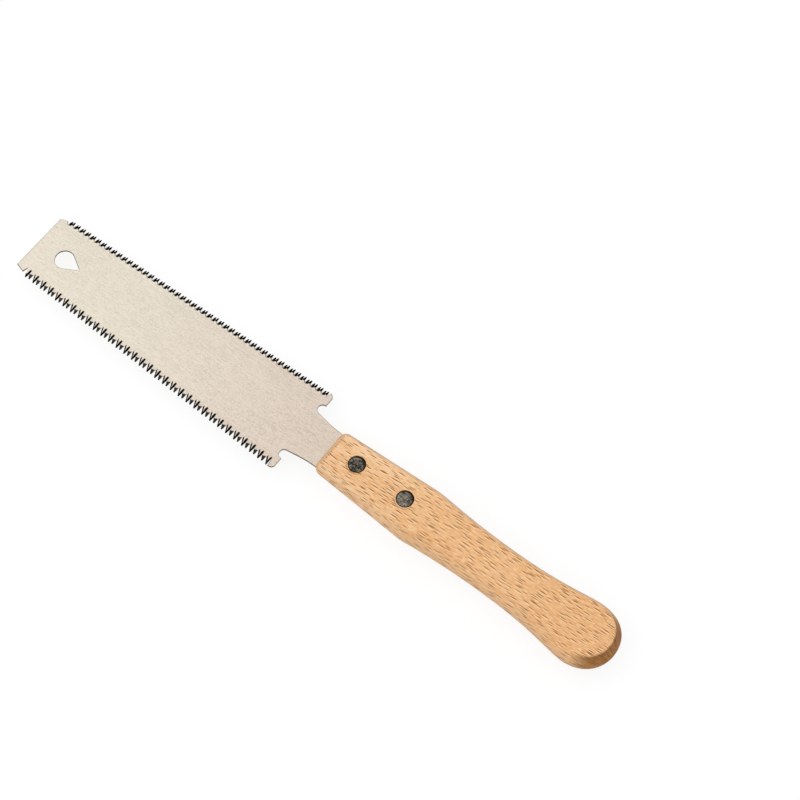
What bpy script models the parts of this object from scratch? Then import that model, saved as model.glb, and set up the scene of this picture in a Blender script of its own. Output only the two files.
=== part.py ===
"""Small double-edged pull saw: one toothed steel blade in a slotted beech handle, held by two rivet pairs.

Metres, +Z up. The saw lies flat on the handle's underside, toe towards -X, fine edge towards +Y.
"""

from collections import namedtuple
from math import acos, cos, pi, radians, sin, tan

import bmesh
import bpy
from mathutils import Vector
from mathutils.geometry import interpolate_bezier

# Clearance between pieces that fit together
FIT_GAP = 0.0003

# Blade, lengths along the saw
TOE_LAND = 0.0052
TOOTH_RUN = 0.1480
HORN_LENGTH = 0.0034
NECK_LENGTH = 0.0137
NECK_INSERT = 0.0050
TANG_TAIL = 0.0115

# Blade, sizes across the saw
BLADE_THICKNESS = 0.0006
TOE_WIDTH = 0.0299
TOE_TIP_WIDTH = 0.0350
HEEL_TIP_WIDTH = 0.0441
HORN_HEIGHT = 0.0063
NECK_WIDTH = 0.0195
TANG_WIDTH = 0.0150

# Blade, corners and reliefs
LAND_STEP = 0.0007
LAND_SETBACK = 0.0013
HORN_CORNER = 0.0021
NOTCH_RADIUS = 0.0022
NOTCH_RUN = 0.0003
NECK_ENTRY_ANGLE = radians(9.0)
NECK_PULL = 0.0055
TANG_CORNER = 0.0025

# Teeth
COARSE_TEETH = 63
COARSE_DEPTH = 0.0042
COARSE_TIP = 0.00060
COARSE_LEAN = 0.83
COARSE_FLEAM = radians(58.0)
FINE_TEETH = 96
FINE_RUN = 0.1495
FINE_DEPTH = 0.0032
FINE_TIP = 0.00048
FINE_LEAN = 0.77
FINE_FLEAM = radians(55.0)
FINE_LEAD = 0.0010
TOOTH_SET = 0.00015

# Teardrop hanging hole
HOLE_FROM_TOE = 0.0157
HOLE_DIAMETER = 0.0091
HOLE_POINT_DIAMETER = 0.0012
HOLE_LENGTH = 0.0130

# Handle, stretches along the grip from the front to the butt
FRONT_TO_KNEE = 0.0489
KNEE_TO_WAIST = 0.0437
WAIST_TO_BULB = 0.0439
BULB_TO_BUTT = 0.0167

# Handle, sizes across the grip
HANDLE_THICKNESS = 0.0160
FRONT_WIDTH = 0.02275
KNEE_WIDTH = 0.0275
WAIST_WIDTH = 0.02335
BULB_WIDTH = 0.0305
FACET_REACH = 0.0034
RIDGE_BAND = 0.0024
FRONT_CORNER = 0.0036
ROUND_LIMIT = 0.45

# How far each curve of the grip runs along its tangents, as a share of its stretch
KNEE_PULL = 0.12
WAIST_FRONT_PULL = 0.62
WAIST_BACK_PULL = 0.60
BULB_FRONT_PULL = 0.16
BULB_BACK_PULL = 0.64
BUTT_PULL = 0.55

# Rivets
RIVET_FROM_FRONT = 0.0161
RIVET_SPACING = 0.0263
HEAD_DIAMETER = 0.0079
HEAD_THICKNESS = 0.0016
HEAD_CROWN = 0.0002
HEAD_EDGE = 0.0003
HEAD_RECESS = 0.00015
TUBE_DIAMETER = 0.0050
TUBE_WALL = 0.0007

# Smoothness of round stretches
ARC_STEPS = 10
CURVE_STEPS = 14
ROUND_STEPS = 3
CORNER_STEPS = 6
TURN_STEPS = 32
CROWN_STEPS = 4
RIVET_SHARP_ANGLE = radians(30.0)
HANDLE_SHARP_ANGLE = radians(40.0)

# Reach of the cutting shapes past a face, and the distance at which points are one
CUT_MARGIN = 0.0010
WELD_DISTANCE = 1e-7

# Places along the saw, measured from the handle's front face
MOUTH_X = -FIT_GAP
SHOULDER_X = NECK_INSERT
HEEL_X = MOUTH_X - NECK_LENGTH
LAST_GULLET_X = HEEL_X - HORN_LENGTH
FIRST_GULLET_X = LAST_GULLET_X - TOOTH_RUN
TOE_X = FIRST_GULLET_X - TOE_LAND
FRONT_RIVET_X = RIVET_FROM_FRONT
REAR_RIVET_X = FRONT_RIVET_X + RIVET_SPACING
TANG_END_X = REAR_RIVET_X + TANG_TAIL
KNEE_X = FRONT_TO_KNEE
WAIST_X = KNEE_X + KNEE_TO_WAIST
BULB_X = WAIST_X + WAIST_TO_BULB
BUTT_X = BULB_X + BULB_TO_BUTT

# Sizes that follow from the ones above
RIDGE_ROUND = ROUND_LIMIT * RIDGE_BAND
HEAD_RADIUS = 0.5 * HEAD_DIAMETER
TUBE_RADIUS = 0.5 * TUBE_DIAMETER
BORE_RADIUS = TUBE_RADIUS - TUBE_WALL
POST_RADIUS = BORE_RADIUS - FIT_GAP
HEAD_TOP_Z = 0.5 * HANDLE_THICKNESS - HEAD_RECESS
HEAD_UNDER_Z = HEAD_TOP_Z - HEAD_THICKNESS

# Both toothed edges: side of the axis, where the row starts, its length, its teeth, their depth, width
# of their tips, place of a tip within its pitch, and angle of the bevels through the plate
ToothedEdge = namedtuple("ToothedEdge", "side start run teeth depth tip lean fleam")
FINE_EDGE = ToothedEdge(1.0, FIRST_GULLET_X - FINE_LEAD, FINE_RUN, FINE_TEETH, FINE_DEPTH, FINE_TIP,
                        FINE_LEAN, FINE_FLEAM)
COARSE_EDGE = ToothedEdge(-1.0, FIRST_GULLET_X, TOOTH_RUN, COARSE_TEETH, COARSE_DEPTH, COARSE_TIP,
                          COARSE_LEAN, COARSE_FLEAM)

# Finishes: base colour, metallic, roughness
FINISHES = {
    "satin_steel": ((0.78, 0.71, 0.61), 1.0, 0.38),
    "beech": ((0.79, 0.46, 0.21), 0.0, 0.55),
    "dark_rivet_steel": ((0.10, 0.09, 0.07), 1.0, 0.45),
}


def clear_scene():
    """Remove every object of the open file."""
    for item in list(bpy.data.objects):
        bpy.data.objects.remove(item, do_unlink=True)


def finish_material(name):
    """Principled material of one of the saw's finishes."""
    colour, metallic, roughness = FINISHES[name]
    material = bpy.data.materials.new(name)
    material.use_nodes = True
    shader = material.node_tree.nodes["Principled BSDF"]
    shader.inputs["Base Color"].default_value = (*colour, 1.0)
    shader.inputs["Metallic"].default_value = metallic
    shader.inputs["Roughness"].default_value = roughness
    return material


def mesh_from(bm, name):
    """Close the bmesh into a mesh with its faces pointing out."""
    bmesh.ops.recalc_face_normals(bm, faces=bm.faces)
    mesh = bpy.data.meshes.new(name)
    bm.to_mesh(mesh)
    bm.free()
    return mesh


def add_object(name, mesh, parent, location=(0.0, 0.0, 0.0)):
    """Object of a mesh, placed on the saw's axis."""
    item = bpy.data.objects.new(name, mesh)
    item.parent = parent
    item.location = location
    bpy.context.collection.objects.link(item)
    return item


def hide_cutter(item):
    """Keep a cutting shape out of the finished saw."""
    item.hide_render = True
    item.display_type = "WIRE"


def cut(item, cutter):
    """Take the cutter's shape out of a piece."""
    boolean = item.modifiers.new(cutter.name, "BOOLEAN")
    boolean.operation = "DIFFERENCE"
    boolean.solver = "EXACT"
    boolean.object = cutter


def arc(centre_x, centre_y, radius, start, end, steps=ARC_STEPS):
    """Points of a round stretch in plan, both ends included."""
    turns = [start + (end - start) * step / steps for step in range(steps + 1)]
    return [(centre_x + radius * cos(turn), centre_y + radius * sin(turn)) for turn in turns]


def curve(start, start_handle, end_handle, end, steps=CURVE_STEPS):
    """Points of a Bezier stretch in plan, both ends included."""
    knots = [Vector((x, y, 0.0)) for x, y in (start, start_handle, end_handle, end)]
    return [(point.x, point.y) for point in interpolate_bezier(*knots, steps)]


def mirrored(points):
    """The same points on the other side of the saw's axis, run backwards."""
    return [(x, -y) for x, y in reversed(points)]


def extrude_plan(bm, points, low, high):
    """Raise a plan outline from one height to another and return its lower corners in order."""
    corners = [bm.verts.new((x, y, low)) for x, y in points]
    raised = bmesh.ops.extrude_face_region(bm, geom=[bm.faces.new(corners)])
    upper = [part for part in raised["geom"] if isinstance(part, bmesh.types.BMVert)]
    bmesh.ops.translate(bm, verts=upper, vec=(0.0, 0.0, high - low))
    return corners


def turned_mesh(name, profile):
    """Solid of revolution about Z from a profile of (radius, height) that starts and ends on the axis."""
    bm = bmesh.new()
    corners = [bm.verts.new((radius, 0.0, height)) for radius, height in profile]
    edges = [bm.edges.new(pair) for pair in zip(corners, corners[1:])]
    bmesh.ops.spin(bm, geom=corners + edges, cent=(0.0, 0.0, 0.0), axis=(0.0, 0.0, 1.0),
                   angle=2.0 * pi, steps=TURN_STEPS, use_merge=True)
    bmesh.ops.remove_doubles(bm, verts=bm.verts, dist=WELD_DISTANCE)
    mesh = mesh_from(bm, name)
    mesh.shade_smooth()
    mesh.set_sharp_from_angle(angle=RIVET_SHARP_ANGLE)
    return mesh


def tip_half_width(x):
    """Distance from the saw's axis to the line of tooth tips, which widens towards the heel."""
    share = (x - FIRST_GULLET_X) / TOOTH_RUN
    return 0.5 * (TOE_TIP_WIDTH + share * (HEEL_TIP_WIDTH - TOE_TIP_WIDTH))


def toe_points(edge):
    """Toe corner and the slanted land before the first tooth."""
    land_y = tip_half_width(FIRST_GULLET_X) - LAND_SETBACK
    return [(TOE_X, 0.5 * TOE_WIDTH), (edge.start - LAND_STEP, land_y)]


def gullet_points(edge):
    """Gullet roots of one edge at the middle of the plate, from the toe to the heel."""
    places = [edge.start + edge.run * count / edge.teeth for count in range(edge.teeth + 1)]
    return [(x, tip_half_width(x) - edge.depth) for x in places]


def heel_points(edge):
    """Horn, relief notch, neck, shoulder and tang of one side."""
    horn_y = tip_half_width(LAST_GULLET_X)
    notch_x = HEEL_X - NOTCH_RUN
    notch_y = horn_y - HORN_HEIGHT - NOTCH_RADIUS
    neck_y = 0.5 * NECK_WIDTH
    tang_y = 0.5 * TANG_WIDTH
    points = [(edge.start + edge.run + LAND_STEP, horn_y)]
    points += arc(HEEL_X - HORN_CORNER, horn_y - HORN_CORNER, HORN_CORNER, 0.5 * pi, 0.0)
    points += [(HEEL_X, notch_y + NOTCH_RADIUS)]
    notch = arc(notch_x, notch_y, NOTCH_RADIUS, 0.5 * pi, 1.5 * pi - NECK_ENTRY_ANGLE)
    start_x, start_y = notch[-1]
    pull = (start_x + NECK_PULL * cos(NECK_ENTRY_ANGLE), start_y - NECK_PULL * sin(NECK_ENTRY_ANGLE))
    neck = curve(notch[-1], pull, (MOUTH_X - NECK_PULL, neck_y), (MOUTH_X, neck_y), ARC_STEPS)
    points += notch + neck[1:]
    points += [(SHOULDER_X, neck_y), (SHOULDER_X, tang_y)]
    points += arc(TANG_END_X - TANG_CORNER, tang_y - TANG_CORNER, TANG_CORNER, 0.5 * pi, 0.0)
    return points


def blade_side(edge):
    """Plan points of one long side with its gullets at known places in the list."""
    toe = toe_points(edge)
    gullets = gullet_points(edge)
    return toe + gullets + heel_points(edge), range(len(toe), len(toe) + len(gullets))


def other_face(corner):
    """Corner of the plate's upper face that stands above a lower one."""
    for edge in corner.link_edges:
        partner = edge.other_vert(corner)
        if partner.co.z > corner.co.z:
            return partner
    raise ValueError("the plate has no upper corner here")


def slant_gullets(gullets, edge):
    """File each gullet at an angle through the plate, every second one the other way."""
    reach = 0.5 * BLADE_THICKNESS * tan(edge.fleam)
    for count, corner in enumerate(gullets[1:-1], start=1):
        shift = reach if count % 2 == 0 else -reach
        other_face(corner).co.x += shift
        corner.co.x -= shift


def tooth_walls(gullets):
    """Side faces of the plate between neighbouring gullets."""
    walls = []
    for start, end in zip(gullets, gullets[1:]):
        edge = next(edge for edge in start.link_edges if edge.other_vert(start) is end)
        walls.append(next(face for face in edge.link_faces if len(face.verts) == 4))
    return walls


def raise_tooth(bm, wall, place, edge):
    """Draw one wall out to a narrow knife tip on its wider face, set towards that face."""
    cap = bmesh.ops.extrude_discrete_faces(bm, faces=[wall])["faces"][0]
    upper = sorted((corner for corner in cap.verts if corner.co.z > 0.0), key=lambda corner: corner.co.x)
    lower = sorted((corner for corner in cap.verts if corner.co.z < 0.0), key=lambda corner: corner.co.x)
    point_side = -1.0 if place % 2 == 0 else 1.0
    wide, narrow = (lower, upper) if point_side < 0.0 else (upper, lower)
    share = (narrow[1].co.x - narrow[0].co.x) / (wide[1].co.x - wide[0].co.x)
    middle_x = edge.start + (place + edge.lean) * edge.run / edge.teeth
    tip_z = point_side * (0.5 * BLADE_THICKNESS + TOOTH_SET)
    for base, inner, reach in zip(wide, narrow, (-0.5 * edge.tip, 0.5 * edge.tip)):
        tip_x = middle_x + reach
        tip = Vector((tip_x, edge.side * tip_half_width(tip_x), tip_z))
        inner.co += share * (tip - base.co)
        base.co = tip


def blade_mesh():
    """Toothed plate before its holes, with flats that end where the neck enters the handle."""
    fine_points, fine_places = blade_side(FINE_EDGE)
    coarse_points, coarse_places = blade_side(COARSE_EDGE)
    half = 0.5 * BLADE_THICKNESS
    bm = bmesh.new()
    corners = extrude_plan(bm, fine_points + mirrored(coarse_points), -half, half)
    bmesh.ops.bisect_plane(bm, geom=[*bm.verts, *bm.edges, *bm.faces], dist=WELD_DISTANCE,
                           plane_co=(MOUTH_X, 0.0, 0.0), plane_no=(1.0, 0.0, 0.0))
    fine = [corners[place] for place in fine_places]
    coarse = [corners[-1 - place] for place in coarse_places]
    for gullets, edge in ((fine, FINE_EDGE), (coarse, COARSE_EDGE)):
        slant_gullets(gullets, edge)
        for place, wall in enumerate(tooth_walls(gullets)):
            raise_tooth(bm, wall, place, edge)
    return mesh_from(bm, "blade")


def teardrop_cutter(root):
    """Hanging hole: a large circle drawn out to a small one towards the handle."""
    large = 0.5 * HOLE_DIAMETER
    small = 0.5 * HOLE_POINT_DIAMETER
    reach = HOLE_LENGTH - large - small
    lean = acos((large - small) / reach)
    centre_x = TOE_X + HOLE_FROM_TOE
    points = arc(centre_x, 0.0, large, lean, 2.0 * pi - lean, 3 * ARC_STEPS)
    points += arc(centre_x + reach, 0.0, small, -lean, lean, ARC_STEPS)
    bm = bmesh.new()
    extrude_plan(bm, points, -CUT_MARGIN, CUT_MARGIN)
    cutter = add_object("teardrop_cutter", mesh_from(bm, "teardrop_cutter"), root)
    hide_cutter(cutter)
    return cutter


def kerf_cutter(root):
    """Slot in the handle's front that takes the end of the neck and the tang."""
    mouth = 0.5 * NECK_WIDTH + FIT_GAP
    shoulder_x = SHOULDER_X + FIT_GAP
    half_width = 0.5 * TANG_WIDTH + FIT_GAP
    half_height = 0.5 * BLADE_THICKNESS + FIT_GAP
    points = [(-CUT_MARGIN, mouth), (shoulder_x, mouth), (shoulder_x, half_width)]
    corner = TANG_CORNER + FIT_GAP
    points += arc(TANG_END_X + FIT_GAP - corner, half_width - corner, corner, 0.5 * pi, 0.0)
    bm = bmesh.new()
    extrude_plan(bm, points + mirrored(points), -half_height, half_height)
    cutter = add_object("kerf_cutter", mesh_from(bm, "kerf_cutter"), root)
    hide_cutter(cutter)
    return cutter


def rivet_hole_cutter(root, name, x):
    """Through bore with a counterbore for the head in both faces of the handle."""
    head = HEAD_RADIUS + FIT_GAP
    bore = TUBE_RADIUS + FIT_GAP
    seat = HEAD_UNDER_Z - FIT_GAP
    past = 0.5 * HANDLE_THICKNESS + CUT_MARGIN
    profile = [(0.0, past), (head, past), (head, seat), (bore, seat)]
    profile += [(bore, -seat), (head, -seat), (head, -past), (0.0, -past)]
    cutter = add_object(name, turned_mesh(name, profile), root, (x, 0.0, 0.0))
    hide_cutter(cutter)
    return cutter


def handle_side():
    """Plan points of one side of the grip: front, knee, waist, bulb and butt."""
    front = (FRONT_CORNER, 0.5 * FRONT_WIDTH)
    knee = (KNEE_X, 0.5 * KNEE_WIDTH)
    waist = (WAIST_X, 0.5 * WAIST_WIDTH)
    bulb = (BULB_X, 0.5 * BULB_WIDTH)
    butt = (BUTT_X, 0.0)
    taper = (knee[1] - front[1]) / (knee[0] - front[0])
    knee_run = KNEE_PULL * KNEE_TO_WAIST
    points = arc(front[0], front[1] - FRONT_CORNER, FRONT_CORNER, pi, 0.5 * pi, CORNER_STEPS)
    points += curve(knee, (knee[0] + knee_run, knee[1] + taper * knee_run),
                    (waist[0] - WAIST_FRONT_PULL * KNEE_TO_WAIST, waist[1]), waist)
    points += curve(waist, (waist[0] + WAIST_BACK_PULL * WAIST_TO_BULB, waist[1]),
                    (bulb[0] - BULB_FRONT_PULL * WAIST_TO_BULB, bulb[1]), bulb)[1:]
    points += curve(bulb, (bulb[0] + BULB_BACK_PULL * BULB_TO_BUTT, bulb[1]),
                    (butt[0], BUTT_PULL * bulb[1]), butt)[1:]
    return points


def level_edges(bm, height):
    """Edges that run round the grip at one height above and below the saw's plane."""
    level = [edge for edge in bm.edges if abs(edge.verts[0].co.z - edge.verts[1].co.z) < WELD_DISTANCE]
    return [edge for edge in level if abs(abs(edge.verts[0].co.z) - height) < WELD_DISTANCE]


def break_edges(bm, edges, reach, steps):
    """Take off edges by the same reach on both of their faces."""
    bm.normal_update()
    bmesh.ops.bevel(bm, geom=edges, offset=reach, offset_type="OFFSET", affect="EDGES",
                    segments=steps, profile=0.5, material=-1)


def handle_mesh():
    """Grip with two leaning facets and a rounded ridge all round, before its slot and bores."""
    side = handle_side()
    half = 0.5 * HANDLE_THICKNESS
    ridge = 0.5 * RIDGE_BAND
    flattened = FACET_REACH * half / (half - ridge)
    bm = bmesh.new()
    extrude_plan(bm, side + mirrored(side)[1:], -flattened, flattened)
    break_edges(bm, level_edges(bm, flattened), FACET_REACH, 1)
    bmesh.ops.scale(bm, vec=(1.0, 1.0, half / flattened), verts=bm.verts)
    break_edges(bm, level_edges(bm, ridge), RIDGE_ROUND, ROUND_STEPS)
    mesh = mesh_from(bm, "handle")
    mesh.shade_smooth()
    mesh.set_sharp_from_angle(angle=HANDLE_SHARP_ANGLE)
    return mesh


def head_profile():
    """Crowned outer side of a rivet head from the axis to its rim, as (radius, height)."""
    face = HEAD_RADIUS - HEAD_EDGE
    crown = [(face * step / CROWN_STEPS, HEAD_TOP_Z - HEAD_CROWN * (step / CROWN_STEPS) ** 2)
             for step in range(CROWN_STEPS + 1)]
    return crown + [(HEAD_RADIUS, HEAD_TOP_Z - HEAD_CROWN - HEAD_EDGE), (HEAD_RADIUS, HEAD_UNDER_Z)]


def rivet_post_mesh():
    """Upper half of a rivet: head and plain shank."""
    end = FIT_GAP - HEAD_UNDER_Z
    shank = [(POST_RADIUS, HEAD_UNDER_Z), (POST_RADIUS, end + HEAD_EDGE), (POST_RADIUS - HEAD_EDGE, end)]
    return turned_mesh("rivet_post", head_profile() + shank + [(0.0, end)])


def rivet_socket_mesh():
    """Lower half of a rivet: head and the tube that takes the shank."""
    mouth = HEAD_UNDER_Z - FIT_GAP
    tube = [(0.0, -HEAD_UNDER_Z), (BORE_RADIUS, -HEAD_UNDER_Z), (BORE_RADIUS, mouth),
            (TUBE_RADIUS, mouth), (TUBE_RADIUS, -HEAD_UNDER_Z)]
    head = [(radius, -height) for radius, height in reversed(head_profile())]
    return turned_mesh("rivet_socket", tube + head)


def build_saw():
    """Place every piece on the saw's axis, with the middle of its length at the origin."""
    root = bpy.data.objects.new("saw_axis", None)
    root.location = (-0.5 * (TOE_X + BUTT_X), 0.0, 0.5 * HANDLE_THICKNESS)
    bpy.context.collection.objects.link(root)
    steel = finish_material("satin_steel")
    beech = finish_material("beech")
    dark = finish_material("dark_rivet_steel")

    blade = add_object("blade", blade_mesh(), root)
    handle = add_object("handle", handle_mesh(), root)
    blade.data.materials.append(steel)
    handle.data.materials.append(beech)
    cut(blade, teardrop_cutter(root))
    cut(handle, kerf_cutter(root))

    post = rivet_post_mesh()
    socket = rivet_socket_mesh()
    post.materials.append(dark)
    socket.materials.append(dark)
    for place, x in (("front", FRONT_RIVET_X), ("rear", REAR_RIVET_X)):
        bore = rivet_hole_cutter(root, place + "_rivet_cutter", x)
        cut(blade, bore)
        cut(handle, bore)
        add_object(place + "_rivet_post", post, root, (x, 0.0, 0.0))
        add_object(place + "_rivet_socket", socket, root, (x, 0.0, 0.0))


clear_scene()
build_saw()
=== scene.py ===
"""Looks of a small double-edged pull saw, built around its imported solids.

Metres, +Z up, toe towards -X, fine edge towards +Y. Materials reckon in millimetres.
The file is laid out as an add-on and is run as a script.
"""

from math import cos, pi, radians, sin

import bmesh
import bpy
from bpy.props import FloatProperty, FloatVectorProperty, IntProperty, PointerProperty
from bpy.types import Operator, Panel, PropertyGroup
from mathutils import Matrix, Vector
from mathutils.geometry import interpolate_bezier


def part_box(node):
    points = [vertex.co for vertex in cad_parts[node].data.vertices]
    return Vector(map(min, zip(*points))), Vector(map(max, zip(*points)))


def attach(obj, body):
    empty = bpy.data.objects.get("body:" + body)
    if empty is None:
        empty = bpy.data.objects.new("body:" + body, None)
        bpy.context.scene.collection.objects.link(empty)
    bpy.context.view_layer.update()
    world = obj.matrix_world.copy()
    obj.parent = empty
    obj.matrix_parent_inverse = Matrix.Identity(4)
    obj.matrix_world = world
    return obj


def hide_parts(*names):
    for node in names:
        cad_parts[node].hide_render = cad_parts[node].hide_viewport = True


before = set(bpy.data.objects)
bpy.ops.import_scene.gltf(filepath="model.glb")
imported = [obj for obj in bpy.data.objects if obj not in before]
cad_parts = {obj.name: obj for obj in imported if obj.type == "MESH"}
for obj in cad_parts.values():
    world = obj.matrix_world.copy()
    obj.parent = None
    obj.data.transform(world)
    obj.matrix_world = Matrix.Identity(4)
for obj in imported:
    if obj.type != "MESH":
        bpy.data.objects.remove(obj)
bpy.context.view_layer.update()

bl_info = {
    "name": "Double-edged pull saw",
    "version": (1, 0, 0),
    "blender": (4, 5, 0),
    "location": "View3D > Sidebar > Pull Saw",
    "description": "Dresses the packed solids of a small double-edged pull saw",
    "category": "Object",
}

MILLIMETRES = 1000.0

# The solids' own places, in the frame's metres
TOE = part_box("blade")[0]
GRIP_LOW, GRIP_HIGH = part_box("handle")
RIVET_PLACES = [0.5 * sum(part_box(node), Vector())
                for node in ("front_rivet_post", "rear_rivet_post")]
PLATE_Z = 0.5 * (GRIP_LOW.z + GRIP_HIGH.z)
GRIP_HALF = 0.5 * (GRIP_HIGH.z - GRIP_LOW.z)

# How far each curve of the grip's outline holds its direction at its ends, as a share
KNEE_OUT, WAIST_IN = 0.12, 0.62
WAIST_OUT, BULB_IN = 0.60, 0.16
BULB_OUT, BUTT_IN = 0.64, 0.55
# Where the grip starts to lean towards the fine edge and has done so, from the knee
LEAN_FROM, LEAN_TO = -0.004, 0.010
# Share of the ridge's band that the rounding takes on either side
RIDGE_ROUND = 0.45
# A head's rounded rim: control points of its curve, outwards and down, in rims
RIM_CURVE = ((0.0, 0.0), (0.6, 0.1), (1.0, 0.4), (1.0, 1.0))
# Room left at the end of a rivet's shank and of its tube
SHANK_ROOM = 0.0003
# How far a cutter stands out of the wood
PAST_FACE = 0.001
# Heights that count as one, and points that are merged
SAME_HEIGHT, SAME_POINT = 1e-6, 1e-7
# Steps round a bore, across a broken border, and along a head's crown and its rim
BORE_STEPS, BORDER_STEPS, CROWN_STEPS, RIM_STEPS = 64, 2, 10, 6
# Edges that turn further than this stay sharp
GRIP_SHARP, RIVET_SHARP = radians(38.0), radians(35.0)


def length(name, description, default):
    """A length that the panel shows in scene units."""
    return FloatProperty(name=name, description=description, default=default, min=0.0,
                         subtype="DISTANCE", unit="LENGTH", precision=5)


def share(name, description, default):
    """A number between none and all."""
    return FloatProperty(name=name, description=description, default=default, min=0.0, max=1.0,
                         subtype="FACTOR")


def amount(name, description, default):
    """Strength of an effect."""
    return FloatProperty(name=name, description=description, default=default, min=0.0)


def count(name, description, default, fewest):
    """A whole number."""
    return IntProperty(name=name, description=description, default=default, min=fewest)


def colour(name, description, default):
    """A linear colour."""
    return FloatVectorProperty(name=name, description=description, default=default, min=0.0,
                               max=1.0, size=3, subtype="COLOR")


def spot(name, description, default):
    """A place in the scene."""
    return FloatVectorProperty(name=name, description=description, default=default, size=3,
                               subtype="TRANSLATION", unit="LENGTH")


class BladeLook(PropertyGroup):
    """Teeth and finish of the plate."""

    steel: colour("Steel", "Satin flat of the plate", (0.730, 0.665, 0.566))
    # Painted shade: the flat is painted darker and warmer towards the handle, a painted falloff of
    # light
    steel_shaded_near_handle: colour("Handled steel", "Warmer flat near the handle", (0.690, 0.585, 0.492))
    steel_worn: colour("Worn steel", "Darker streaks and specks of the flat", (0.430, 0.380, 0.310))
    hardened: colour("Hardened steel", "Darkened band along the tips", (0.032, 0.029, 0.024))
    # Painted light: toe-facing flanks are painted bright as a painted highlight and handle-facing
    # ones black as painted shade, though all have one finish
    flank: colour("Filed flank", "Tooth flanks that face the handle", (0.005, 0.004, 0.003))
    lit_flank: colour("Bright flank", "Tooth flanks that face the toe", (0.720, 0.680, 0.600))
    # A dark line along the lower edge of each bright flank
    low_edge_line: colour("Burr", "Line along the lower edge of a bright flank", (0.025, 0.023, 0.020))
    cut_edge: colour("Cut edge", "Punched walls of the plate and its holes", (0.015, 0.014, 0.012))
    coarse_band: length("Coarse band", "Depth of the dark band on the wide coarse faces", 0.0024)
    fine_band: length("Fine band", "Depth of the dark band on the wide fine faces", 0.0020)
    coarse_tip: length("Coarse tip", "Depth of the black tips between coarse bevels", 0.0015)
    fine_tip: length("Fine tip", "Depth of the black tips between fine bevels", 0.0013)
    # The black strokes are painted over every face round a filed bevel: the dark bevel together
    # with its painted shadow
    coarse_stroke: length("Coarse stroke", "From a pair's first gullet to its black bevel", 0.0022)
    fine_stroke: length("Fine stroke", "From a pair's first gullet to its black bevel", 0.00142)
    coarse_stroke_depth: length("Coarse stroke depth", "Depth of that bevel's middle", 0.0020)
    fine_stroke_depth: length("Fine stroke depth", "Depth of that bevel's middle", 0.00145)
    coarse_stroke_half: length("Coarse stroke length", "Half the length of that bevel", 0.0021)
    fine_stroke_half: length("Fine stroke length", "Half the length of that bevel", 0.0012)
    coarse_stroke_wide: length("Coarse stroke width", "Half the width of that bevel", 0.00056)
    fine_stroke_wide: length("Fine stroke width", "Half the width of that bevel", 0.00068)
    second_tip: length("Second tip", "From a fine pair's first gullet to its second tip", 0.00267)
    edge_line: length("Edge line", "Reach of the dark line along the punched edges", 0.0009)
    coarse_run: length("Coarse run", "Length of the coarse row of teeth", 0.1480)
    fine_run: length("Fine run", "Length of the fine row of teeth", 0.1495)
    fine_lead: length("Fine lead", "How much nearer to the toe the fine row starts", 0.0010)
    toe_land: length("Toe land", "Plain stretch before the first tooth", 0.0052)
    toe_half: length("Half width at the toe", "From the axis to the first tip", 0.0175)
    heel_half: length("Half width at the heel", "From the axis to the last tip", 0.02205)
    coarse_depth: length("Coarse depth", "Depth of the coarse gullets", 0.0042)
    fine_depth: length("Fine depth", "Depth of the fine gullets", 0.0032)
    coarse_wide: share("Coarse wide", "Where in a coarse pair the wide face starts", 0.398)
    fine_wide: share("Fine wide", "Where in a fine pair the wide face starts", 0.362)
    coarse_teeth: count("Coarse teeth", "Teeth of the coarse edge", 63, 2)
    fine_teeth: count("Fine teeth", "Teeth of the fine edge", 96, 2)
    wear: amount("Wear", "How far the flat is worn all over", 0.16)
    streaks: amount("Streaks", "Strength of the lengthwise streaks", 0.80)
    hairs: amount("Hairs", "Strength of the finest lengthwise lines", 0.55)
    mottling: amount("Mottling", "Strength of the fine mottle", 1.30)
    clouding: amount("Clouding", "Strength of the broad clouds", 0.22)
    pitting: amount("Pitting", "Darkness of the specks", 0.55)
    satin_toe: amount("Satin at the toe", "Strength of streaks and mottle at the toe", 0.75)
    satin_handle: amount("Satin at the handle", "How much stronger they are there", 0.65)
    roughness: share("Roughness", "Roughness of the satin flat", 0.36)


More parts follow.
